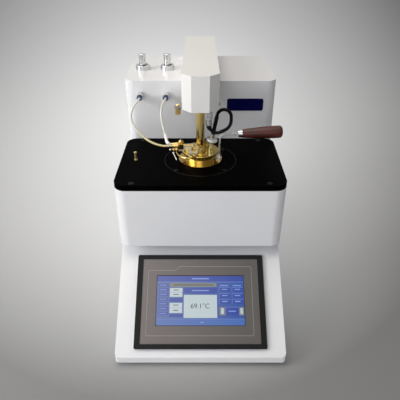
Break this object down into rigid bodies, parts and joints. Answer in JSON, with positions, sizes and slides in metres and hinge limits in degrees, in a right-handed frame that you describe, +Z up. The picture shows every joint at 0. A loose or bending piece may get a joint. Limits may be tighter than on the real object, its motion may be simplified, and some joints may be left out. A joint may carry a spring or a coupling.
{
  "type": "flash point tester",
  "caption": "Closed-cup flash point tester: sloped console with a touch panel, heated bath with lidded cup, and a tower whose arm lifts the lid.",
  "frame": {"origin": "centre of the footprint on the surface that the rubber feet stand on", "axes": "+Z up, +X to the user's right, -Y towards the user, who faces the sloped screen"},
  "size_m": [0.29, 0.522, 0.439],
  "materials": {
    "painted_steel": "white powder coat, fine texture",
    "black_plate": "black anodised look, slight sheen",
    "sheet_steel": "zinc-plated sheet",
    "foot_rubber": "matt rubber",
    "bezel_plastic": "fine-grained moulded plastic",
    "membrane_film": "printed film, satin",
    "display_glass": "lit display behind a satin film",
    "circuit_board": "solder-masked board",
    "bright_steel": "turned and brushed steel",
    "aluminium_block": "machined aluminium",
    "heater_mica": "sheathed band",
    "brass": "turned brass",
    "badge_blue": "blank dark blue plate",
    "chrome": "polished nickel and chrome plating",
    "collet_blue": "moulded acetal",
    "black_plastic": "moulded plastic",
    "gas_hose": "translucent flexible tube",
    "cable_jacket": "silicone jacket",
    "ptfe": "turned PTFE",
    "cup_bronze": "turned copper alloy, heat-tinted",
    "stained_wood": "stained and varnished hardwood"
  },
  "bodies": {
    "base": {"base_shell": "painted_steel", "bottom_plate": "sheet_steel", "rubber_feet": "foot_rubber", "screen_bezel": "bezel_plastic", "screen_membrane": "membrane_film", "lcd_panel": "display_glass", "screen_rear_case": "bezel_plastic", "power_supply": "sheet_steel", "control_board": "circuit_board", "bath_housing": "painted_steel", "top_plate": "black_plate", "plate_screws": "bright_steel", "bath_ring": "black_plate", "heater_block": "aluminium_block", "heater_band": "heater_mica", "brass_post": "brass", "tower_shell": "painted_steel", "tower_back_plate": "sheet_steel", "badge_plate": "badge_blue", "hose_fittings": "chrome", "fitting_collets": "collet_blue", "valve_bases": "chrome", "gas_manifold": "brass", "gas_inlet_barb": "brass", "power_inlet": "black_plastic", "lift_frame": "aluminium_block", "lift_motor": "black_plastic", "gas_tube_left": "gas_hose", "gas_tube_right": "gas_hose"},
    "head": {"arm_cover": "painted_steel", "arm_chassis": "sheet_steel", "arm_screws": "black_plastic", "guide_rods": "bright_steel", "lift_carriage": "aluminium_block", "stirrer_motor": "black_plastic", "stirrer_sleeve": "brass", "cable_connector": "chrome", "sensor_cable": "cable_jacket", "lid_plate": "brass", "lid_bridge": "bright_steel", "lid_pin": "brass", "sensor_boss": "bright_steel", "sensor_bush": "ptfe", "sensor_probe": "bright_steel", "burner_block": "brass", "gas_nuts": "brass", "pilot_tube": "bright_steel"},
    "stirrer": {"stirrer_shaft": "bright_steel"},
    "shutter": {"shutter_plate": "brass"},
    "burner": {"burner_tube": "brass"},
    "cup_set": {"cup": "cup_bronze", "handle_strip": "bright_steel", "handle_screws": "bright_steel", "handle_ferrule": "chrome", "wood_grip": "stained_wood"},
    "valve_left": {"valve_knob_left": "chrome"},
    "valve_right": {"valve_knob_right": "chrome"},
    "drive_screw": {"lead_screw": "bright_steel"},
    "switch": {"switch_rocker": "black_plastic"},
    "thumb_knob": {"side_knob": "brass"}
  },
  "joints": [
    {"name": "head_lift", "type": "slide", "parent": "base", "child": "head", "axis": [0, 0, 1], "range_m": [0, 0.1], "deforming": ["gas_tube_left", "gas_tube_right"]},
    {"name": "cup_lift", "type": "slide", "parent": "base", "child": "cup_set", "axis": [0, 0, 1], "range_m": [0, 0.055]},
    {"name": "lead_screw_spin", "type": "hinge", "parent": "base", "child": "drive_screw", "pos_m": [0, 0.1627, 0.25], "axis": [0, 0, 1], "continuous": true},
    {"name": "stirrer_spin", "type": "hinge", "parent": "head", "child": "stirrer", "pos_m": [0, -0.029, 0.3], "axis": [0, 0, 1], "continuous": true},
    {"name": "shutter_turn", "type": "hinge", "parent": "head", "child": "shutter", "pos_m": [0, -0.029, 0.3], "axis": [0, 0, 1], "range_deg": [-35, 0]},
    {"name": "burner_dip", "type": "hinge", "parent": "head", "child": "burner", "pos_m": [-0.03, -0.0315, 0.3092], "axis": [1, 0, 0], "range_deg": [0, 35]},
    {"name": "valve_left_turn", "type": "hinge", "parent": "base", "child": "valve_left", "pos_m": [-0.117, 0.149, 0.41], "axis": [0, 0, 1], "range_deg": [0, 720]},
    {"name": "valve_right_turn", "type": "hinge", "parent": "base", "child": "valve_right", "pos_m": [-0.067, 0.149, 0.41], "axis": [0, 0, 1], "range_deg": [0, 720]},
    {"name": "side_knob_turn", "type": "hinge", "parent": "head", "child": "thumb_knob", "pos_m": [-0.039, -0.022, 0.37], "axis": [0, 0, 1], "continuous": true},
    {"name": "switch_rock", "type": "hinge", "parent": "base", "child": "switch", "pos_m": [0.018, 0.245, 0.201], "axis": [1, 0, 0], "range_deg": [0, 14]}
  ],
  "couplings": [
    {"joint": "cup_lift", "follows": "head_lift", "ratio": 0.5},
    {"joint": "lead_screw_spin", "follows": "head_lift", "rad_per_m": 785.4},
    {"joint": "burner_dip", "follows": "shutter_turn", "ratio": -1}
  ]
}
